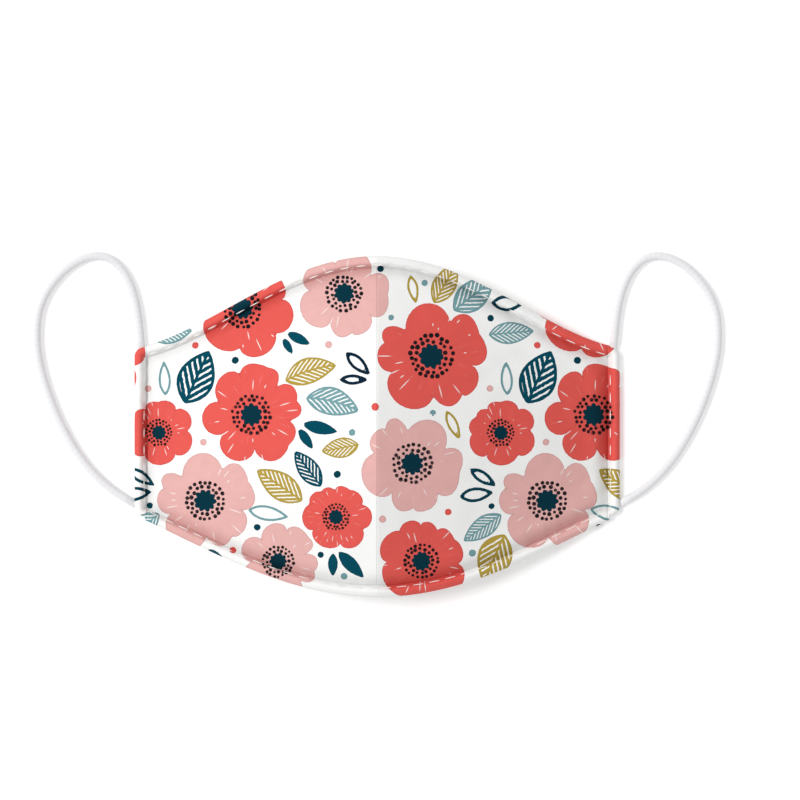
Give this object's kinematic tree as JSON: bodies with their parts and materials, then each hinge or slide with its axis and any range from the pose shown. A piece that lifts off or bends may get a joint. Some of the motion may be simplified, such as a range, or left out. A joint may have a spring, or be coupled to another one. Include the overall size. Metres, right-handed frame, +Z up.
{
  "type": "cloth face mask",
  "caption": "Reusable contoured cotton face mask with a centre ridge, a topstitched hem all round and round elastic ear loops.",
  "frame": {"origin": "on the surface the mask lies on, under the middle of the mask's body", "axes": "+X to the right as the mask is seen from outside, +Y towards the nose edge, +Z up, away from the face"},
  "size_m": [0.284, 0.1419, 0.0521],
  "materials": {
    "printed_cotton": "plain weave white cotton printed with poppies, leaves and dots",
    "hem_cotton": "the same printed cotton, turned under and topstitched in white",
    "elastic_cord": "round braided elastic, off-white"
  },
  "bodies": {
    "root": {"panel_left": "printed_cotton", "panel_right": "printed_cotton", "hem_nose": "hem_cotton", "hem_chin": "hem_cotton", "hem_left": "hem_cotton", "hem_right": "hem_cotton", "ear_loop_left": "elastic_cord", "ear_loop_right": "elastic_cord"}
  },
  "joints": []
}
